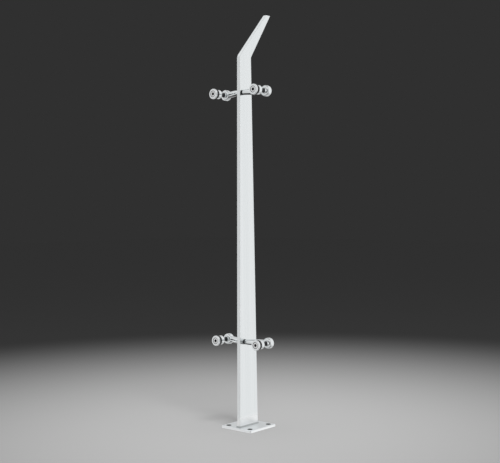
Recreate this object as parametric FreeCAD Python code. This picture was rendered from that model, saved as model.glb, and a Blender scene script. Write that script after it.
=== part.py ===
import FreeCAD
import Part
import math
import os

# Stainless steel railing post: a tapered flat blade with a leaning top, welded on a square
# base plate, with two levels of two-arm claws. Each arm ends in an eye that carries a
# clamping point for a glass pane.
#
# Millimetres. +Z is up. The origin is the middle of the base plate's underside.
# +X runs across the blade towards the back, the way the top leans. The glass side is -X.
# The claws reach out along Y: left is +Y and right is -Y, seen from the glass side.

# Base plate
plate_side = 100.0
plate_thick = 6.0
plate_corner_r = 4.0
plate_edge_break = 0.8
anchor_hole_d = 12.0
anchor_pitch = 72.0

# Blade
blade_thick = 10.0
blade_centre_x = -4.0
foot_width = 70.0
neck_width = 43.0
overall_height = 1070.0
lean_rise = 118.0
lean_angle = 41.7
tip_width = 16.4
front_bend_r = 20.0
back_bend_r = 12.0
blade_edge_r = 1.0

# Weld round the blade's foot
weld_leg = 3.0
weld_crown = 0.4

# Claw levels, and the studs that join each pair of arms through the blade
lower_level = 223.0
upper_level_drop = 92.0
claw_set_back = 10.5
claw_stud_d = 8.0
claw_stud_grip = 12.0
claw_bore_spare = 1.0

# Claw arm
arm_span = 68.0
arm_sweep = 17.0
arm_root_d = 13.0
arm_belly_d = 15.5
arm_end_d = 14.5
arm_root_round = 1.2
eye_d = 27.0
eye_thick = 16.0
eye_round = 4.5
eye_blend_r = 2.5

# Clamping disc and its screw
disc_d = 26.0
disc_thick = 4.5
disc_round = 1.2
disc_back_break = 0.4
screw_d = 8.0
screw_head_d = 15.0
screw_head_sink = 0.5
screw_grip = 14.0
screw_clearance = 0.2
screw_bore_spare = 1.5
socket_across = 6.0
socket_depth = 3.2

# Gaskets and the sleeve between them
gasket_d = 24.0
gasket_thick = 4.0
sleeve_d = 14.0

# Barrel behind the gaskets, with its waisted neck
barrel_d = 23.0
barrel_length = 12.0
barrel_front_round = 0.8
barrel_shoulder_r = 3.0
neck_length = 19.0
neck_d = 10.5
neck_foot_d = 16.0

# Stud through the eye and the nut behind it
fitting_stud_d = 8.0
fitting_stud_grip = 12.0
fitting_bore_spare = 0.5
nut_across = 13.0
nut_hex_height = 5.0
nut_dome_height = 3.5
nut_thread_depth = 6.0
stud_end_break = 0.8

# Places that follow from the sizes above
X_AXIS = FreeCAD.Vector(1, 0, 0)
Y_AXIS = FreeCAD.Vector(0, 1, 0)
Z_AXIS = FreeCAD.Vector(0, 0, 1)
blade_face_y = blade_thick / 2
neck_height = overall_height - lean_rise
neck_front_x = blade_centre_x - neck_width / 2
claw_hole_x = neck_front_x + claw_set_back
eye_x = claw_hole_x + arm_sweep
eye_front_x = eye_x - eye_thick / 2
eye_back_x = eye_x + eye_thick / 2
barrel_front_x = eye_front_x - neck_length - barrel_length
disc_back_x = barrel_front_x - 2 * gasket_thick
disc_face_x = disc_back_x - disc_thick
levels = {"lower": lower_level, "upper": neck_height - upper_level_drop}
sides = {"left": 1, "right": -1}


def rounded_outline(corners, radii):
    """Closed flat wire through the corners, each rounded to its own radius."""
    starts, ends, arcs = [], [], []
    for here, radius, before, after in zip(
            corners, radii, corners[-1:] + corners[:-1], corners[1:] + corners[:1]):
        back = (before - here).normalize()
        ahead = (after - here).normalize()
        if radius == 0:
            starts.append(here)
            ends.append(here)
            arcs.append(None)
            continue
        half = back.getAngle(ahead) / 2
        reach = radius / math.tan(half)
        inward = (back + ahead).normalize()
        start = here + back * reach
        end = here + ahead * reach
        middle = here + inward * (radius / math.sin(half) - radius)
        starts.append(start)
        ends.append(end)
        arcs.append(Part.Arc(start, middle, end).toShape())
    edges = []
    for arc, end, following in zip(arcs, ends, starts[1:] + starts[:1]):
        if arc is not None:
            edges.append(arc)
        edges.append(Part.makeLine(end, following))
    return Part.Wire(edges)


def rounded_rectangle(length, width, radius, z):
    """Flat outline at height z, its middle on the blade's own upright line."""
    half_length, half_width = length / 2, width / 2
    corners = [FreeCAD.Vector(blade_centre_x + sx * half_length, sy * half_width, z)
               for sx, sy in ((-1, -1), (1, -1), (1, 1), (-1, 1))]
    return rounded_outline(corners, [radius] * 4)


def turned(profile):
    """Solid of revolution about X from (x, radius) points, where a point may be an arc's middle.

    Each entry is (x, r) for a straight run, or (x, r, x_middle, r_middle) for an arc that
    reaches (x, r) through its middle point.
    """
    edges = []
    last = FreeCAD.Vector(profile[0][0], 0, profile[0][1])
    first = last
    for entry in profile[1:]:
        here = FreeCAD.Vector(entry[0], 0, entry[1])
        if len(entry) == 4:
            middle = FreeCAD.Vector(entry[2], 0, entry[3])
            edges.append(Part.Arc(last, middle, here).toShape())
        else:
            edges.append(Part.makeLine(last, here))
        last = here
    edges.append(Part.makeLine(last, first))
    face = Part.Face(Part.Wire(edges))
    return face.revolve(FreeCAD.Vector(0, 0, 0), X_AXIS, 360)


def hexagon_bar(across, length, x):
    """Six-sided bar along X from x, with two of its flats level."""
    corner_r = across / math.sqrt(3)
    corners = [FreeCAD.Vector(x, corner_r * math.cos(math.radians(60 * turn)),
                              corner_r * math.sin(math.radians(60 * turn)))
               for turn in range(6)]
    outline = Part.makePolygon(corners + corners[:1])
    return Part.Face(outline).extrude(X_AXIS * length)


def quarter(radius):
    """How far the middle of a quarter round lies from the two lines that it joins."""
    return radius * (1 - math.sqrt(0.5))


def stud(diameter, start, length, axis):
    """Plain threaded stud with its two ends broken."""
    bar = Part.makeCylinder(diameter / 2, length, start, axis)
    rims = [edge for edge in bar.Edges if isinstance(edge.Curve, Part.Circle)]
    return bar.makeChamfer(stud_end_break, rims)


def base_plate():
    """Square plate with rounded corners and four anchor holes."""
    half = plate_side / 2
    corners = [FreeCAD.Vector(sx * half, sy * half, 0)
               for sx, sy in ((-1, -1), (1, -1), (1, 1), (-1, 1))]
    outline = rounded_outline(corners, [plate_corner_r] * 4)
    plate = Part.Face(outline).extrude(Z_AXIS * plate_thick)
    top_rim = [edge for edge in plate.Edges
               if min(vertex.Z for vertex in edge.Vertexes) > plate_thick - 0.001]
    plate = plate.makeChamfer(plate_edge_break, top_rim)
    for sx in (-1, 1):
        for sy in (-1, 1):
            place = FreeCAD.Vector(sx * anchor_pitch / 2, sy * anchor_pitch / 2, 0)
            plate = plate.cut(Part.makeCylinder(anchor_hole_d / 2, plate_thick, place))
    return plate


def post_blade():
    """Tapered flat blade, its top leaning back to a level cut, with one hole for each claw."""
    front_tip_x = neck_front_x + lean_rise * math.tan(math.radians(lean_angle))
    outline = [
        (blade_centre_x - foot_width / 2, plate_thick, 0),
        (neck_front_x, neck_height, front_bend_r),
        (front_tip_x, overall_height, 0),
        (front_tip_x + tip_width, overall_height, 0),
        (blade_centre_x + neck_width / 2, neck_height, back_bend_r),
        (blade_centre_x + foot_width / 2, plate_thick, 0)]
    corners = [FreeCAD.Vector(x, -blade_face_y, z) for x, z, radius in outline]
    wire = rounded_outline(corners, [radius for x, z, radius in outline])
    blade = Part.Face(wire).extrude(Y_AXIS * blade_thick)
    long_edges = []
    for edge in blade.Edges:
        ends = [vertex.Point for vertex in edge.Vertexes]
        flat = abs(ends[0].y - ends[1].y) < 0.001
        level = abs(ends[0].z - ends[1].z) < 0.001
        if flat and not level:
            long_edges.append(edge)
    blade = blade.makeFillet(blade_edge_r, long_edges)
    for level in levels.values():
        start = FreeCAD.Vector(claw_hole_x, -blade_face_y, level)
        blade = blade.cut(Part.makeCylinder(claw_stud_d / 2, blade_thick, start, Y_AXIS))
    return blade


def foot_weld(blade):
    """Fillet bead laid all round the blade's foot, a little crowned."""
    top = plate_thick + weld_leg
    middle_offset = weld_leg / 2 + weld_crown
    rings = []
    for offset, z in ((weld_leg, plate_thick),
                      (middle_offset, plate_thick + middle_offset),
                      (weld_crown, top)):
        rings.append(rounded_rectangle(foot_width + 2 * offset, blade_thick + 2 * offset,
                                       blade_edge_r + offset, z))
    bead = Part.makeLoft(rings, True, True)
    return bead.cut(blade)


def claw_stud(level):
    """Stud through the blade, gripped by the two arms of one level."""
    length = blade_thick + 2 * claw_stud_grip
    start = FreeCAD.Vector(claw_hole_x, -length / 2, level)
    return stud(claw_stud_d, start, length, Y_AXIS)


def arm_line(run):
    """Point and heading of the arm's centre line, a flat S, at a share of its run along Y.

    The two equal arcs of the S carry the arm back by the sweep and leave it square to the
    blade at its root and square to the fitting at its eye.
    """
    half_run = (arm_span - blade_face_y) / 2
    half_sweep = arm_sweep / 2
    radius = (half_run ** 2 + half_sweep ** 2) / (2 * half_sweep)
    y = 2 * half_run * run
    if run <= 0.5:
        turn = math.asin(y / radius)
        x = radius * (1 - math.cos(turn))
    else:
        turn = math.asin((2 * half_run - y) / radius)
        x = arm_sweep - radius * (1 - math.cos(turn))
    place = FreeCAD.Vector(claw_hole_x + x, blade_face_y + y, 0)
    return place, FreeCAD.Vector(math.sin(turn), math.cos(turn), 0)


def joins_bar_and_eye(edge, arm):
    """Whether an edge of the arm is where its swelling bar runs into its eye."""
    meeting = [face.Surface for face in arm.Faces
               if any(edge.isSame(side) for side in face.Edges)]
    swelling = [isinstance(surface, Part.BSplineSurface) for surface in meeting]
    return any(swelling) and not all(swelling) and edge.BoundBox.YMax > blade_face_y + 1


def claw_arm():
    """Cast arm: a round bar that swells between its seat and its eye, on the left side."""
    sections = []
    for run, diameter in ((0, arm_root_d), (0.25, (arm_root_d + arm_belly_d) / 2),
                          (0.5, arm_belly_d), (0.75, (arm_end_d + arm_belly_d) / 2),
                          (1, arm_end_d)):
        place, heading = arm_line(run)
        sections.append(Part.Wire(Part.makeCircle(diameter / 2, place, heading)))
    bar = Part.makeLoft(sections, True, False)
    root_rim = [edge for edge in bar.Edges if edge.BoundBox.YMax < blade_face_y + 0.001]
    bar = bar.makeFillet(arm_root_round, root_rim)
    centre = FreeCAD.Vector(eye_front_x, arm_span, 0)
    eye = Part.makeCylinder(eye_d / 2, eye_thick, centre, X_AXIS)
    eye = eye.makeFillet(eye_round, [edge for edge in eye.Edges
                                     if isinstance(edge.Curve, Part.Circle)])
    arm = bar.fuse(eye)
    arm = arm.makeFillet(eye_blend_r, [edge for edge in arm.Edges if joins_bar_and_eye(edge, arm)])
    root = FreeCAD.Vector(claw_hole_x, blade_face_y, 0)
    arm = arm.cut(Part.makeCylinder(claw_stud_d / 2, claw_stud_grip + claw_bore_spare,
                                    root, Y_AXIS))
    return arm.cut(Part.makeCylinder(fitting_stud_d / 2, eye_thick, centre, X_AXIS))


def cap_screw():
    """Countersunk screw with a hexagon socket, its head sunk a little below the disc's face."""
    head_r = screw_head_d / 2
    shank_r = screw_d / 2
    head_x = disc_face_x + screw_head_sink
    cone_end_x = head_x + head_r - shank_r
    tip_x = barrel_front_x + screw_grip
    screw = turned([
        (head_x, 0),
        (head_x, head_r),
        (cone_end_x, shank_r),
        (tip_x - stud_end_break, shank_r),
        (tip_x, shank_r - stud_end_break),
        (tip_x, 0)])
    return screw.cut(hexagon_bar(socket_across, socket_depth, head_x))


def front_disc():
    """Round clamping disc with a rounded front rim, countersunk for the screw's head."""
    outer_r = disc_d / 2
    mouth_r = screw_head_d / 2 + screw_head_sink
    hole_r = screw_d / 2 + screw_clearance
    rim = quarter(disc_round)
    return turned([
        (disc_face_x, mouth_r),
        (disc_face_x, outer_r - disc_round),
        (disc_face_x + disc_round, outer_r, disc_face_x + rim, outer_r - rim),
        (disc_back_x - disc_back_break, outer_r),
        (disc_back_x, outer_r - disc_back_break),
        (disc_back_x, hole_r),
        (disc_face_x + mouth_r - hole_r, hole_r)])


def ring(front_x, length, outer_d, inner_d):
    """Plain flat ring or sleeve about the fitting's axis."""
    return turned([
        (front_x, inner_d / 2),
        (front_x, outer_d / 2),
        (front_x + length, outer_d / 2),
        (front_x + length, inner_d / 2)])


def barrel():
    """Turned barrel with a rounded shoulder and a waisted neck that seats on the eye."""
    outer_r = barrel_d / 2
    waist_r = neck_d / 2
    foot_r = neck_foot_d / 2
    front_rim = quarter(barrel_front_round)
    shoulder = quarter(barrel_shoulder_r)
    shoulder_x = barrel_front_x + barrel_length
    screw_bore_end = barrel_front_x + screw_grip + screw_bore_spare
    stud_bore_end = eye_front_x - fitting_stud_grip - fitting_bore_spare
    return turned([
        (barrel_front_x, screw_d / 2),
        (barrel_front_x, outer_r - barrel_front_round),
        (barrel_front_x + barrel_front_round, outer_r,
         barrel_front_x + front_rim, outer_r - front_rim),
        (shoulder_x - barrel_shoulder_r, outer_r),
        (shoulder_x, outer_r - barrel_shoulder_r,
         shoulder_x - shoulder, outer_r - shoulder),
        (eye_front_x, foot_r, shoulder_x + neck_length / 2, waist_r),
        (eye_front_x, fitting_stud_d / 2),
        (stud_bore_end, fitting_stud_d / 2),
        (stud_bore_end, 0),
        (screw_bore_end, 0),
        (screw_bore_end, screw_d / 2)])


def fitting_stud():
    """Stud from the barrel through the eye into the cap nut."""
    start = FreeCAD.Vector(eye_front_x - fitting_stud_grip, 0, 0)
    length = fitting_stud_grip + eye_thick + nut_thread_depth
    return stud(fitting_stud_d, start, length, X_AXIS)


def cap_nut():
    """Low domed cap nut that draws the fitting against the eye."""
    corner_r = nut_across / math.sqrt(3)
    dome_base_x = eye_back_x + nut_hex_height
    top_x = dome_base_x + nut_dome_height
    dome_r = nut_across / 2
    sphere_r = (dome_r ** 2 + nut_dome_height ** 2) / (2 * nut_dome_height)
    sphere_x = top_x - sphere_r
    half_turn = math.asin(dome_r / sphere_r) / 2
    spun = turned([
        (eye_back_x, fitting_stud_d / 2),
        (eye_back_x, dome_r),
        (eye_back_x + corner_r - dome_r, corner_r),
        (dome_base_x - corner_r + dome_r, corner_r),
        (dome_base_x, dome_r),
        (top_x, 0, sphere_x + sphere_r * math.cos(half_turn), sphere_r * math.sin(half_turn)),
        (eye_back_x + nut_thread_depth, 0),
        (eye_back_x + nut_thread_depth, fitting_stud_d / 2)])
    return spun.common(hexagon_bar(nut_across, nut_hex_height + nut_dome_height, eye_back_x))


def point_fitting():
    """The pieces of one glass clamp, on the axis that later moves to its eye."""
    return {
        "cap_screw": cap_screw(),
        "front_disc": front_disc(),
        "front_gasket": ring(disc_back_x, gasket_thick, gasket_d, sleeve_d),
        "rear_gasket": ring(disc_back_x + gasket_thick, gasket_thick, gasket_d, sleeve_d),
        "glass_sleeve": ring(disc_back_x, 2 * gasket_thick, sleeve_d,
                             screw_d + 2 * screw_clearance),
        "barrel": barrel(),
        "fitting_stud": fitting_stud(),
        "cap_nut": cap_nut()}


def placed(shape, side, level):
    """Copy of a left-hand piece, mirrored for the right side and lifted to its level."""
    copy = shape.copy()
    if side < 0:
        copy = copy.mirror(FreeCAD.Vector(0, 0, 0), Y_AXIS)
    copy.translate(Z_AXIS * level)
    return copy


blade = post_blade()
pieces = {"base_plate": base_plate(), "post_blade": blade, "foot_weld": foot_weld(blade)}
arm = claw_arm()
fitting = point_fitting()
for level_name, level in levels.items():
    pieces[level_name + "_claw_stud"] = claw_stud(level)
    for side_name, side in sides.items():
        place = level_name + "_" + side_name
        pieces[place + "_arm"] = placed(arm, side, level)
        for name, shape in fitting.items():
            on_axis = shape.copy()
            on_axis.translate(Y_AXIS * arm_span)
            pieces[place + "_" + name] = placed(on_axis, side, level)

os.makedirs("parts", exist_ok=True)
for name, shape in pieces.items():
    shape.exportStep("parts/" + name + ".step")
print(len(pieces), "pieces")
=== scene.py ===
import math

import bpy
from mathutils import Matrix, Vector


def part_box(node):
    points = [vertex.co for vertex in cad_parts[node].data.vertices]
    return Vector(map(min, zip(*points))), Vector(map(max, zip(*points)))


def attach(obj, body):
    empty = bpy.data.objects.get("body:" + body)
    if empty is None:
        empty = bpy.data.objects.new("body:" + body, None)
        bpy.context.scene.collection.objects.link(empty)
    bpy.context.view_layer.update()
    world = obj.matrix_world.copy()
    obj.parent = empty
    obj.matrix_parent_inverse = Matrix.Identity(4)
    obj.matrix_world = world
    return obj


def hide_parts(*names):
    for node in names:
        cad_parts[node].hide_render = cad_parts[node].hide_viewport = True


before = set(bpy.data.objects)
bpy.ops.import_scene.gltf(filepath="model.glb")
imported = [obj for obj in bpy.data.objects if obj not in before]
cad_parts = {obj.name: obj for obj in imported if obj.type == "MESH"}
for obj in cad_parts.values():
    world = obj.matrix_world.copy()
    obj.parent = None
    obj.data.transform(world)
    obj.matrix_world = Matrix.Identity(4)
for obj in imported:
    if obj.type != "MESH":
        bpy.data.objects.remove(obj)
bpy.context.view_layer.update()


# The base plate: a square of 6 mm stainless plate with four drilled holes, through which
# it is bolted to the floor. A belt has rubbed it down, which leaves short crossing lines
# and a soft, cloudy sheen, duller than the blade's.

def new_finish(name, colour, metallic):
    """A material with its own shader, and the shader, ready for the finish's own nodes."""
    finish = bpy.data.materials.new(name)
    finish.use_nodes = True
    shader = finish.node_tree.nodes["Principled BSDF"]
    shader.inputs["Base Color"].default_value = (*colour, 1)
    shader.inputs["Metallic"].default_value = metallic
    return finish, shader


def give(node_names, finish):
    """Puts a finish on pieces that keep the shape of the frame."""
    for name in node_names:
        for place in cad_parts[name].material_slots:
            place.material = finish


def open_effect(name, wanted, given):
    """An empty shared effect with its named inputs and outputs, and its two end nodes."""
    effect = bpy.data.node_groups.new(name, "ShaderNodeTree")
    for label, kind, value in wanted:
        socket = effect.interface.new_socket(label, in_out="INPUT", socket_type=kind)
        socket.default_value = value
    for label, kind in given:
        effect.interface.new_socket(label, in_out="OUTPUT", socket_type=kind)
    return effect, effect.nodes.new("NodeGroupInput"), effect.nodes.new("NodeGroupOutput")


def use_effect(finish, effect, **values):
    """Places a shared effect in a finish, with this finish's own values."""
    placed = finish.node_tree.nodes.new("ShaderNodeGroup")
    placed.node_tree = effect
    for label, value in values.items():
        placed.inputs[label.replace("_", " ")].default_value = value
    return placed


def calculate(tree, operation, *inputs):
    """A Math node whose inputs are sockets or plain numbers, and its result."""
    node = tree.nodes.new("ShaderNodeMath")
    node.operation = operation
    for socket, value in zip(node.inputs, inputs):
        if isinstance(value, bpy.types.NodeSocket):
            tree.links.new(value, socket)
        else:
            socket.default_value = value
    return node.outputs[0]


def spread(tree, value, low, high):
    """A 0 to 1 value spread between two others."""
    node = tree.nodes.new("ShaderNodeMapRange")
    tree.links.new(value, node.inputs["Value"])
    node.inputs["To Min"].default_value = low
    node.inputs["To Max"].default_value = high
    return node.outputs["Result"]


def raise_lines(finish, shader, height, depth, strength):
    """Turns a height pattern into fine relief on the finish."""
    tree = finish.node_tree
    bump = tree.nodes.new("ShaderNodeBump")
    bump.inputs["Strength"].default_value = strength
    bump.inputs["Distance"].default_value = depth
    tree.links.new(height, bump.inputs["Height"])
    tree.links.new(bump.outputs["Normal"], shader.inputs["Normal"])


def make_rubbed_lines():
    """Lines left by rubbing: noise drawn out along the way the belt or wheel ran."""
    tree, start, end = open_effect(
        "rubbed_lines",
        [("Lines per metre", "NodeSocketVector", (1000, 1000, 10)),
         ("Patches per metre", "NodeSocketFloat", 12)],
        [("Line", "NodeSocketFloat"), ("Patch", "NodeSocketFloat")])
    place = tree.nodes.new("ShaderNodeTexCoord")
    stretched = tree.nodes.new("ShaderNodeVectorMath")
    stretched.operation = "MULTIPLY"
    tree.links.new(place.outputs["Object"], stretched.inputs[0])
    tree.links.new(start.outputs["Lines per metre"], stretched.inputs[1])
    lines = tree.nodes.new("ShaderNodeTexNoise")
    lines.inputs["Scale"].default_value = 1
    lines.inputs["Detail"].default_value = 3
    lines.inputs["Roughness"].default_value = 0.6
    tree.links.new(stretched.outputs[0], lines.inputs["Vector"])
    patches = tree.nodes.new("ShaderNodeTexNoise")
    patches.inputs["Detail"].default_value = 2
    tree.links.new(place.outputs["Object"], patches.inputs["Vector"])
    tree.links.new(start.outputs["Patches per metre"], patches.inputs["Scale"])
    tree.links.new(lines.outputs["Fac"], end.inputs["Line"])
    tree.links.new(patches.outputs["Fac"], end.inputs["Patch"])
    return tree


rubbed_lines = make_rubbed_lines()


def make_plate_finish():
    """Belt-rubbed stainless plate, painted lighter on its cut sides as a highlight and black
    in its drilled holes as shade.
    """
    plate_colour = (0.79, 0.82, 0.835)
    side_highlight_colour = (0.95, 0.97, 0.98)
    hole_shade_colour = (0.03, 0.03, 0.03)
    finish, shader = new_finish("rubbed_plate_steel", plate_colour, 1)
    tree = finish.node_tree
    anchor_reach = 0.036
    anchor_wall = 0.006
    rim_start = 0.0006
    rim_end = 0.0010
    place = tree.nodes.new("ShaderNodeTexCoord")
    split = tree.nodes.new("ShaderNodeSeparateXYZ")
    tree.links.new(place.outputs["Object"], split.inputs[0])
    squares = []
    for way in ("X", "Y"):
        outward = calculate(tree, "ABSOLUTE", split.outputs[way])
        off = calculate(tree, "SUBTRACT", outward, anchor_reach)
        squares.append(calculate(tree, "MULTIPLY", off, off))
    radius = calculate(tree, "SQRT", calculate(tree, "ADD", *squares))
    outside = tree.nodes.new("ShaderNodeMapRange")
    outside.inputs["From Min"].default_value = anchor_wall + rim_start
    outside.inputs["From Max"].default_value = anchor_wall + rim_end
    tree.links.new(radius, outside.inputs["Value"])
    facing = tree.nodes.new("ShaderNodeSeparateXYZ")
    tree.links.new(place.outputs["Normal"], facing.inputs[0])
    # Painted highlight: the sides, which don't face up, get a lighter colour.
    painted_side_highlight = tree.nodes.new("ShaderNodeMix")
    painted_side_highlight.data_type = "RGBA"
    painted_side_highlight.inputs["A"].default_value = (*side_highlight_colour, 1)
    painted_side_highlight.inputs["B"].default_value = (*plate_colour, 1)
    tree.links.new(facing.outputs["Z"], painted_side_highlight.inputs["Factor"])
    # Painted shade: the drilled holes and a thin ring round them are black.
    drilled = tree.nodes.new("ShaderNodeMix")
    drilled.data_type = "RGBA"
    drilled.inputs["A"].default_value = (*hole_shade_colour, 1)
    tree.links.new(painted_side_highlight.outputs["Result"], drilled.inputs["B"])
    tree.links.new(outside.outputs["Result"], drilled.inputs["Factor"])
    tree.links.new(drilled.outputs["Result"], shader.inputs["Base Color"])
    rubbed = use_effect(finish, rubbed_lines, Lines_per_metre=(60, 1500, 60),
                        Patches_per_metre=26)
    crossed = use_effect(finish, rubbed_lines, Lines_per_metre=(900, 90, 60),
                         Patches_per_metre=70)
    both = calculate(tree, "ADD", rubbed.outputs["Line"], crossed.outputs["Line"])
    cloudy = calculate(tree, "MULTIPLY", rubbed.outputs["Patch"], crossed.outputs["Patch"])
    tree.links.new(spread(tree, cloudy, low=0.26, high=0.52), shader.inputs["Roughness"])
    raise_lines(finish, shader, both, depth=0.00004, strength=0.35)
    return finish


plate_finish = make_plate_finish()
give(["base_plate"], plate_finish)


# The blade: one 10 mm stainless flat bar, cut tapered, with its top bent back, and welded
# upright on the plate. It is ground along its length and buffed to a soft gloss, so it
# keeps faint long lines and slow streaks, and mirrors the roots of the claws.

def fade(tree, value, start, end):
    """A soft step from 0 to 1 as the value goes from start to end."""
    step = tree.nodes.new("ShaderNodeMapRange")
    step.interpolation_type = "SMOOTHSTEP"
    step.inputs["From Min"].default_value = start
    step.inputs["From Max"].default_value = end
    tree.links.new(value, step.inputs["Value"])
    return step.outputs["Result"]


def make_blade_finish():
    """Buffed flat bar with its long grain.

    It is brushed at the foot, where it was cleaned after welding, and along its edges,
    which were broken by hand. Both are lighter in colour; along the edges the lighter
    colour is a painted highlight.
    """
    darker_streak = (0.745, 0.78, 0.79)
    lighter_streak = (0.875, 0.90, 0.91)
    brushed_and_highlight_colour = (0.93, 0.945, 0.95)
    streak_share = 0.6
    brushed_above_weld = 0.030
    brushing_fades_over = 0.022
    foot_dulling = 0.13
    edge_dulling = 0.45
    finish, shader = new_finish("buffed_blade_steel", (0.81, 0.84, 0.85), 1)
    tree = finish.node_tree
    fine = use_effect(finish, rubbed_lines, Lines_per_metre=(2600, 2600, 7),
                      Patches_per_metre=9)
    broad = use_effect(finish, rubbed_lines, Lines_per_metre=(190, 190, 0.8),
                       Patches_per_metre=40)
    streaks = calculate(tree, "MULTIPLY", broad.outputs["Line"], streak_share)
    dulled = calculate(tree, "MULTIPLY_ADD", fine.outputs["Line"], 1 - streak_share, streaks)
    place = tree.nodes.new("ShaderNodeTexCoord")
    split = tree.nodes.new("ShaderNodeSeparateXYZ")
    tree.links.new(place.outputs["Object"], split.inputs[0])
    brush_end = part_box("foot_weld")[1].z + brushed_above_weld
    above_brushing = fade(tree, split.outputs["Z"], brush_end - brushing_fades_over,
                          brush_end)
    foot = calculate(tree, "SUBTRACT", 1.0, above_brushing)
    facing = tree.nodes.new("ShaderNodeSeparateXYZ")
    tree.links.new(place.outputs["Normal"], facing.inputs[0])
    between_faces = calculate(tree, "MULTIPLY", facing.outputs["X"], facing.outputs["Y"])
    broken_edge_and_highlight = fade(tree, calculate(tree, "ABSOLUTE", between_faces), start=0.10, end=0.35)
    brushing_and_edge_highlight = calculate(tree, "MAXIMUM", foot, broken_edge_and_highlight)
    buffed = spread(tree, dulled, low=0.14, high=0.25)
    at_foot = calculate(tree, "MULTIPLY_ADD", foot, foot_dulling, buffed)
    brushed = calculate(tree, "MULTIPLY_ADD", broken_edge_and_highlight, edge_dulling, at_foot)
    tree.links.new(brushed, shader.inputs["Roughness"])
    streaked = tree.nodes.new("ShaderNodeMix")
    streaked.data_type = "RGBA"
    streaked.inputs["A"].default_value = (*darker_streak, 1)
    streaked.inputs["B"].default_value = (*lighter_streak, 1)
    tree.links.new(broad.outputs["Line"], streaked.inputs["Factor"])
    # Painted highlight: the colour is lighter along the blade's edges. At the foot the
    # lighter colour is the brushed finish.
    lightened = tree.nodes.new("ShaderNodeMix")
    lightened.data_type = "RGBA"
    lightened.inputs["B"].default_value = (*brushed_and_highlight_colour, 1)
    tree.links.new(streaked.outputs["Result"], lightened.inputs["A"])
    tree.links.new(brushing_and_edge_highlight, lightened.inputs["Factor"])
    tree.links.new(lightened.outputs["Result"], shader.inputs["Base Color"])
    raise_lines(finish, shader, fine.outputs["Line"], depth=0.00001, strength=0.25)
    return finish


blade_finish = make_blade_finish()
give(["post_blade"], blade_finish)


# The weld: a small fillet bead of stainless wire, laid by hand all round the blade's foot,
# a puddle at a time, and brushed clean. Its overlapping ripples still show, so a rippled
# bead takes the place of the frame's plain ring.

def foot_outline(low, high, corner_r, step):
    """Points and outward headings round the blade's rounded foot, evenly stepped."""
    corner_step = 15
    points = []
    for corner_x, corner_y, start in ((high.x, high.y, 0), (low.x, high.y, 90),
                                      (low.x, low.y, 180), (high.x, low.y, 270)):
        centre = Vector((corner_x - corner_r * (1 if corner_x == high.x else -1),
                         corner_y - corner_r * (1 if corner_y == high.y else -1)))
        for turn in range(0, 91, corner_step):
            angle = math.radians(start + turn)
            heading = Vector((math.cos(angle), math.sin(angle)))
            points.append((centre + heading * corner_r, heading))
    walked = []
    for here, following in zip(points, points[1:] + points[:1]):
        run = (following[0] - here[0]).length
        count = max(1, round(run / step))
        for share in range(count):
            part = share / count
            heading = here[1].lerp(following[1], part).normalized()
            walked.append((here[0].lerp(following[0], part), heading, run / count))
    return walked


def make_weld_bead():
    """The rippled bead, in the space of the frame's plain one."""
    weld_low, weld_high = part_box("foot_weld")
    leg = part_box("post_blade")[0].x - weld_low.x
    low = Vector((weld_low.x + leg, weld_low.y + leg))
    high = Vector((weld_high.x - leg, weld_high.y - leg))
    edge_r = 0.001
    ripple_pitch = 0.0021
    ripple_share = 0.10
    ripple_roundness = 0.96
    ripple_lag = 0.45
    fullness = 1.45
    sections = 9
    step = 0.00035
    vertices, faces = [], []
    walked = foot_outline(low, high, edge_r, step)
    travelled = 0
    for point, heading, run in walked:
        for section in range(sections):
            angle = math.radians(90) * section / (sections - 1)
            lag = ripple_lag * leg * math.sin(2 * angle)
            phase = ((travelled + lag) / ripple_pitch) % 1
            dip = 1 - math.sqrt(1 - (1 - phase) ** 2 * ripple_roundness)
            crest = 1 - ripple_share * dip
            reach = leg * crest * max(0, math.cos(angle)) ** (2 / fullness)
            rise = leg * crest * math.sin(angle) ** (2 / fullness)
            place = point + heading * reach
            vertices.append((place.x, place.y, weld_low.z + rise))
        vertices.append((point.x, point.y, weld_low.z))
        travelled += run
    ring = sections + 1
    for index in range(len(walked)):
        following = (index + 1) % len(walked)
        for section in range(ring):
            above = (section + 1) % ring
            faces.append((index * ring + section, following * ring + section,
                          following * ring + above, index * ring + above))
    mesh = bpy.data.meshes.new("weld_bead")
    mesh.from_pydata(vertices, [], faces)
    mesh.validate()
    bead = bpy.data.objects.new("weld_bead", mesh)
    bpy.context.scene.collection.objects.link(bead)
    for face in mesh.polygons:
        face.use_smooth = True
    return bead


def make_weld_finish():
    """Brushed weld metal, duller than the bar, and darker, partly as weld metal and partly
    as painted shade in the corner at the blade's foot.
    """
    finish, shader = new_finish("brushed_weld_steel", (0.47, 0.495, 0.50), 1)
    tree = finish.node_tree
    brushed = use_effect(finish, rubbed_lines, Lines_per_metre=(1800, 1800, 1800),
                         Patches_per_metre=120)
    tree.links.new(spread(tree, brushed.outputs["Patch"], low=0.22, high=0.48),
                   shader.inputs["Roughness"])
    raise_lines(finish, shader, brushed.outputs["Line"], depth=0.00003, strength=0.3)
    return finish


weld_bead = make_weld_bead()
weld_bead.data.materials.append(make_weld_finish())
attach(weld_bead, "root")
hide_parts("foot_weld")


# The claw arms: stainless investment castings, a round bar that swells and sweeps back to
# an eye. Two of them share one stud through the blade. They are buffed to a mirror, which
# never gets a casting quite true, so reflections roll a little over its skin.

levels = ("lower", "upper")
sides = ("left", "right")
glass_points = [level + "_" + side for level in levels for side in sides]


def mix_painted_shade(tree, colour):
    """A mix from black painted shade to the buffed colour."""
    painted_shade_black = (0.035, 0.036, 0.038)
    mixed = tree.nodes.new("ShaderNodeMix")
    mixed.data_type = "RGBA"
    mixed.inputs["A"].default_value = (*painted_shade_black, 1)
    mixed.inputs["B"].default_value = (*colour, 1)
    return mixed


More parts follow.
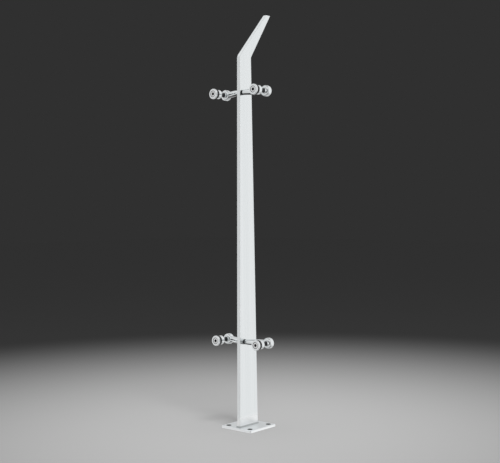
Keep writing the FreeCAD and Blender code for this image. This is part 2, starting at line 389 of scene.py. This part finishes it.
def make_cast_finish():
    """Mirror-buffed casting with its slow waviness.

    The corner between arm and blade is painted black as shade, and the arm's underside as
    far as the eye is painted black as a dark reflection.
    """
    cast_colour = (0.80, 0.83, 0.84)
    corner_start = 0.0026
    corner_end = 0.0040
    eye_start = 0.052
    eye_end = 0.060
    finish, shader = new_finish("buffed_cast_steel", cast_colour, 1)
    tree = finish.node_tree
    blade_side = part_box("post_blade")[1].y
    place = tree.nodes.new("ShaderNodeTexCoord")
    split = tree.nodes.new("ShaderNodeSeparateXYZ")
    tree.links.new(place.outputs["Object"], split.inputs[0])
    outward = calculate(tree, "ABSOLUTE", split.outputs["Y"])
    out_of_painted_corner_shade = fade(tree, outward, blade_side + corner_start, blade_side + corner_end)
    at_eye = fade(tree, outward, eye_start, eye_end)
    facing = tree.nodes.new("ShaderNodeSeparateXYZ")
    tree.links.new(place.outputs["Normal"], facing.inputs[0])
    above_painted_underside_shade = fade(tree, facing.outputs["Z"], start=-0.60, end=-0.46)
    off_painted_underside_shade = calculate(tree, "MAXIMUM", above_painted_underside_shade, at_eye)
    buffed = calculate(tree, "MULTIPLY", out_of_painted_corner_shade, off_painted_underside_shade)
    # Painted shade and reflection: black in the root corner and along the underside.
    painted_shade_mix = mix_painted_shade(tree, cast_colour)
    tree.links.new(buffed, painted_shade_mix.inputs["Factor"])
    tree.links.new(painted_shade_mix.outputs["Result"], shader.inputs["Base Color"])
    skin = use_effect(finish, rubbed_lines, Lines_per_metre=(130, 130, 130),
                      Patches_per_metre=45)
    tree.links.new(spread(tree, skin.outputs["Patch"], low=0.04, high=0.13),
                   shader.inputs["Roughness"])
    raise_lines(finish, shader, skin.outputs["Line"], depth=0.00025, strength=0.25)
    return finish


give([point + "_arm" for point in glass_points], make_cast_finish())


# The clamping discs and barrels: turned from stainless bar and buffed while they spin, so
# the tool's lines run round the axis, as rings on a face and hoops on a barrel. A screw
# draws each disc to its barrel, and the barrel is bolted to the arm's eye.

disc_low, disc_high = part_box("lower_left_front_disc")
upper_low, upper_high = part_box("upper_left_front_disc")
axis_out = (disc_low.y + disc_high.y) / 2
axis_height = (disc_low.z + disc_high.z) / 2
axis_rise = (upper_low.z + upper_high.z) / 2 - axis_height


def make_lathe_rings():
    """Lines round the axis of whichever of the four fittings a surface belongs to."""
    tree, start, end = open_effect(
        "lathe_rings",
        [("Rings per metre", "NodeSocketFloat", 2500)],
        [("Ring", "NodeSocketFloat"), ("Radius", "NodeSocketFloat"),
         ("Along", "NodeSocketFloat")])
    place = tree.nodes.new("ShaderNodeTexCoord")
    split = tree.nodes.new("ShaderNodeSeparateXYZ")
    tree.links.new(place.outputs["Object"], split.inputs[0])
    outward = calculate(tree, "ABSOLUTE", split.outputs["Y"])
    across = calculate(tree, "SUBTRACT", outward, axis_out)
    above = calculate(tree, "SUBTRACT", split.outputs["Z"], axis_height)
    shares = calculate(tree, "DIVIDE", above, axis_rise)
    nearest = calculate(tree, "ROUND", shares)
    base = calculate(tree, "MULTIPLY", nearest, axis_rise)
    up = calculate(tree, "SUBTRACT", above, base)
    across_squared = calculate(tree, "MULTIPLY", across, across)
    both = calculate(tree, "MULTIPLY_ADD", up, up, across_squared)
    radius = calculate(tree, "SQRT", both)
    along = calculate(tree, "ADD", radius, split.outputs["X"])
    count = calculate(tree, "MULTIPLY", along, start.outputs["Rings per metre"])
    rings = tree.nodes.new("ShaderNodeTexNoise")
    rings.noise_dimensions = "1D"
    rings.inputs["Scale"].default_value = 1
    rings.inputs["Detail"].default_value = 2
    tree.links.new(count, rings.inputs["W"])
    tree.links.new(rings.outputs["Fac"], end.inputs["Ring"])
    tree.links.new(radius, end.inputs["Radius"])
    tree.links.new(split.outputs["X"], end.inputs["Along"])
    return tree


lathe_rings = make_lathe_rings()


def make_turned_finish(name, colour, rings_per_metre, smooth, dull, depth,
                       recess=None, rim=None, past=None):
    """Turned and buffed steel, from smooth between its rings to dull on them.

    What lies inside the recess radius or outside the rim radius is painted black as shade.
    Past a place along the axis the recess keeps the turned colour.
    """
    finish, shader = new_finish(name, colour, 1)
    tree = finish.node_tree
    turned = use_effect(finish, lathe_rings, Rings_per_metre=rings_per_metre)
    tree.links.new(spread(tree, turned.outputs["Ring"], smooth, dull),
                   shader.inputs["Roughness"])
    raise_lines(finish, shader, turned.outputs["Ring"], depth, strength=0.3)
    if not recess:
        return finish
    # Painted shade: the colour goes black inside the recess radius and outside the rim
    # radius.
    outside_painted_shade = fade(tree, turned.outputs["Radius"], *recess)
    if rim:
        beyond = fade(tree, turned.outputs["Radius"], *rim)
        within = calculate(tree, "SUBTRACT", 1.0, beyond)
        outside_painted_shade = calculate(tree, "MULTIPLY", outside_painted_shade, within)
    if past:
        behind = fade(tree, turned.outputs["Along"], *past)
        outside_painted_shade = calculate(tree, "MAXIMUM", outside_painted_shade, behind)
    painted_shade_mix = mix_painted_shade(tree, colour)
    tree.links.new(outside_painted_shade, painted_shade_mix.inputs["Factor"])
    tree.links.new(painted_shade_mix.outputs["Result"], shader.inputs["Base Color"])
    return finish


# The barrel's neck is painted black as shade.
neck_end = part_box("lower_left_barrel")[1].x
barrel_finish = make_turned_finish(
    "turned_barrel_steel", (0.81, 0.84, 0.85), rings_per_metre=1400, smooth=0.05, dull=0.16,
    depth=0.00001, recess=(0.0088, 0.0108), past=(neck_end - 0.0040, neck_end - 0.0022))
give([point + "_barrel" for point in glass_points], barrel_finish)
# The disc's countersink is painted black as shade.
disc_finish = make_turned_finish(
    "turned_disc_steel", (0.85, 0.875, 0.885), rings_per_metre=1400, smooth=0.05, dull=0.16,
    depth=0.00001, recess=(0.0080, 0.0086))
give([point + "_front_disc" for point in glass_points], disc_finish)


# The fasteners: stainless socket screws, cap nuts and studs as bought, turned and rolled,
# and duller than the buffed pieces that they hold together. The round of a screw's sunk
# head and its socket are painted black as shade.

screw_finish = make_turned_finish(
    "plain_screw_steel", (0.86, 0.87, 0.87), rings_per_metre=900, smooth=0.14, dull=0.28,
    depth=0.00002, recess=(0.0037, 0.0043), rim=(0.0066, 0.0072))
give([point + "_cap_screw" for point in glass_points], screw_finish)
nut_finish = make_turned_finish(
    "plain_nut_steel", (0.74, 0.74, 0.74), rings_per_metre=900, smooth=0.12, dull=0.26,
    depth=0.00002)
give([point + "_cap_nut" for point in glass_points], nut_finish)
give([point + "_fitting_stud" for point in glass_points], nut_finish)
give([level + "_claw_stud" for level in levels], nut_finish)


# The gaskets: black moulded rubber rings, one on each side of the glass, matt, with a fine
# grain from the mould and a greyish bloom that comes and goes. The sleeve that keeps the
# screw off the glass is a plain nylon tube inside them.

def make_rubber_finish():
    """Black rubber with a little bloom."""
    bare_colour = (0.018, 0.018, 0.019)
    bloomed_colour = (0.045, 0.045, 0.045)
    finish, shader = new_finish("black_rubber", (0.022, 0.022, 0.023), 0)
    tree = finish.node_tree
    grain = use_effect(finish, rubbed_lines, Lines_per_metre=(3500, 3500, 3500),
                       Patches_per_metre=160)
    tree.links.new(spread(tree, grain.outputs["Patch"], low=0.5, high=0.8),
                   shader.inputs["Roughness"])
    bloom = tree.nodes.new("ShaderNodeMix")
    bloom.data_type = "RGBA"
    bloom.inputs["A"].default_value = (*bare_colour, 1)
    bloom.inputs["B"].default_value = (*bloomed_colour, 1)
    tree.links.new(grain.outputs["Patch"], bloom.inputs["Factor"])
    tree.links.new(bloom.outputs["Result"], shader.inputs["Base Color"])
    raise_lines(finish, shader, grain.outputs["Line"], depth=0.00005, strength=0.4)
    return finish


def make_nylon_finish():
    """Plain moulded nylon."""
    finish, shader = new_finish("natural_nylon", (0.72, 0.70, 0.64), 0)
    tree = finish.node_tree
    grain = use_effect(finish, rubbed_lines, Lines_per_metre=(900, 900, 900),
                       Patches_per_metre=90)
    tree.links.new(spread(tree, grain.outputs["Patch"], low=0.35, high=0.5),
                   shader.inputs["Roughness"])
    return finish


rubber_finish = make_rubber_finish()
give([point + "_front_gasket" for point in glass_points], rubber_finish)
give([point + "_rear_gasket" for point in glass_points], rubber_finish)
give([point + "_glass_sleeve" for point in glass_points], make_nylon_finish())


# The floor: a wide sheet of matt paper under the post, which takes its soft shadow. Its
# colour is a painted pool of light: pale near the post, and dark further off.

def make_floor():
    """The studio floor, with a painted pool of light: pale near the post and dark far off.
    """
    reach = 12
    near_colour = (0.50, 0.50, 0.50)
    far_colour = (0.0415, 0.0415, 0.0415)
    pale_until = 0.15
    dark_from = 1.9
    mesh = bpy.data.meshes.new("studio_floor")
    mesh.from_pydata([(-reach, -reach, 0), (reach, -reach, 0), (reach, reach, 0),
                      (-reach, reach, 0)], [], [(0, 1, 2, 3)])
    floor = bpy.data.objects.new("studio_floor", mesh)
    bpy.context.scene.collection.objects.link(floor)
    finish, shader = new_finish("pale_floor", near_colour, 0)
    shader.inputs["Roughness"].default_value = 1
    tree = finish.node_tree
    place = tree.nodes.new("ShaderNodeTexCoord")
    far = tree.nodes.new("ShaderNodeVectorMath")
    far.operation = "LENGTH"
    tree.links.new(place.outputs["Object"], far.inputs[0])
    # Painted pool of light: the colour fades from pale to dark with distance from the post.
    painted_light_falloff = fade(tree, far.outputs["Value"], pale_until, dark_from)
    sheet = tree.nodes.new("ShaderNodeMix")
    sheet.data_type = "RGBA"
    sheet.inputs["A"].default_value = (*near_colour, 1)
    sheet.inputs["B"].default_value = (*far_colour, 1)
    tree.links.new(painted_light_falloff, sheet.inputs["Factor"])
    tree.links.new(sheet.outputs["Result"], shader.inputs["Base Color"])
    shader.inputs["Specular IOR Level"].default_value = 0
    mesh.materials.append(finish)
    floor.visible_glossy = False
    return floor


make_floor()


# The light: a room of pale painted walls, which the bright metal mirrors, with one large
# soft lamp hung overhead. The side where the camera stands is dimmer.

def make_room():
    """The walls all round as the metal mirrors them, and the dark backdrop.

    Each wall is its heading, the cosines from it at which the wall begins and is whole,
    and the brightness there as a share of the room's.
    """
    world = bpy.data.worlds.new("studio_room")
    world.use_nodes = True
    bpy.context.scene.world = world
    tree = world.node_tree
    back = tree.nodes["Background"]
    place = tree.nodes.new("ShaderNodeTexCoord")
    rays = tree.nodes.new("ShaderNodeLightPath")
    wall_level = 0.93
    plain_level = 0.70
    backdrop_level = 0.0296
    dim_side = ((-0.75, -0.66, 0.02), 0.78, 0.93, 0.28)
    bright_front = ((-0.30, -0.95, 0.05), 0.88, 0.97, 1.25)
    back_wall = ((0.75, 0.66, 0.22), 0.60, 0.86, 0.74)
    left_wall = ((-0.75, 0.66, 0.00), 0.62, 0.88, 0.78)
    ceiling = ((0, 0, 1), 0.80, 0.96, 0.45)
    front_ceiling = ((0, -0.6, 0.8), 0.72, 0.92, 0.85)
    front_floor = ((0, -0.6, -0.8), 0.62, 0.90, 0.70)
    floor_below = ((0, 0, -1), 0.42, 0.74, 0.50)
    mirrored = wall_level
    for heading, outer, inner, share in (dim_side, bright_front, back_wall, left_wall,
                                         ceiling, front_ceiling, front_floor, floor_below):
        toward = tree.nodes.new("ShaderNodeVectorMath")
        toward.operation = "DOT_PRODUCT"
        toward.inputs[1].default_value = Vector(heading).normalized()
        tree.links.new(place.outputs["Generated"], toward.inputs[0])
        wall = tree.nodes.new("ShaderNodeMapRange")
        wall.interpolation_type = "SMOOTHSTEP"
        wall.inputs["From Min"].default_value = outer
        wall.inputs["From Max"].default_value = inner
        wall.inputs["To Min"].default_value = 1
        wall.inputs["To Max"].default_value = share
        tree.links.new(toward.outputs["Value"], wall.inputs["Value"])
        mirrored = calculate(tree, "MULTIPLY", wall.outputs["Result"], mirrored)
    unmirrored = calculate(tree, "SUBTRACT", 1.0, rays.outputs["Is Glossy Ray"])
    plain = calculate(tree, "MULTIPLY", unmirrored, plain_level)
    lit = calculate(tree, "MULTIPLY_ADD", mirrored, rays.outputs["Is Glossy Ray"], plain)
    unseen = calculate(tree, "SUBTRACT", 1.0, rays.outputs["Is Camera Ray"])
    backdrop = calculate(tree, "MULTIPLY", rays.outputs["Is Camera Ray"], backdrop_level)
    level = calculate(tree, "MULTIPLY_ADD", lit, unseen, backdrop)
    tree.links.new(level, back.inputs["Strength"])
    back.inputs["Color"].default_value = (1, 1, 1, 1)


def make_soft_lamp(name, place, aim, size, watts):
    """A large soft lamp turned towards a point."""
    lamp = bpy.data.lights.new(name, "AREA")
    lamp.shape = "RECTANGLE"
    lamp.size, lamp.size_y = size
    lamp.energy = watts
    holder = bpy.data.objects.new(name, lamp)
    bpy.context.scene.collection.objects.link(holder)
    holder.location = place
    holder.rotation_euler = (aim - place).to_track_quat("-Z", "Y").to_euler()
    holder.visible_camera = False
    return holder


make_room()
high_lamp = make_soft_lamp("high_soft_lamp", place=Vector((-0.5, -0.9, 3.0)),
                           aim=Vector((0, 0, 0.4)), size=(0.7, 0.7), watts=34)
high_lamp.visible_glossy = False


# The camera: it stands in front of the post on its right, level with its middle, and looks
# down by little more than a degree. The photograph is turned by half a degree.

def make_camera():
    """The camera of the photograph's view."""
    turn = math.radians(48.88)
    distance = 2.378
    aside = 0.0084
    height = 0.563
    dip = math.radians(1.39)
    roll = math.radians(0.56)
    image_width = 500
    focal_pixels = 924.8
    sees_to = 50
    camera = bpy.data.cameras.new("photo_camera")
    camera.sensor_width = 36
    camera.lens = focal_pixels / image_width * camera.sensor_width
    camera.clip_end = sees_to
    holder = bpy.data.objects.new("photo_camera", camera)
    bpy.context.scene.collection.objects.link(holder)
    right = Vector((math.cos(turn), -math.sin(turn), 0))
    ahead = Vector((math.sin(turn), math.cos(turn), 0))
    place = right * aside - ahead * distance + Vector((0, 0, height))
    holder.matrix_world = (Matrix.Translation(place)
                           @ Matrix.Rotation(-turn, 4, "Z")
                           @ Matrix.Rotation(math.pi / 2 - dip, 4, "X")
                           @ Matrix.Rotation(-roll, 4, "Z"))
    bpy.context.scene.camera = holder


make_camera()
bpy.context.scene.view_settings.view_transform = "Standard"
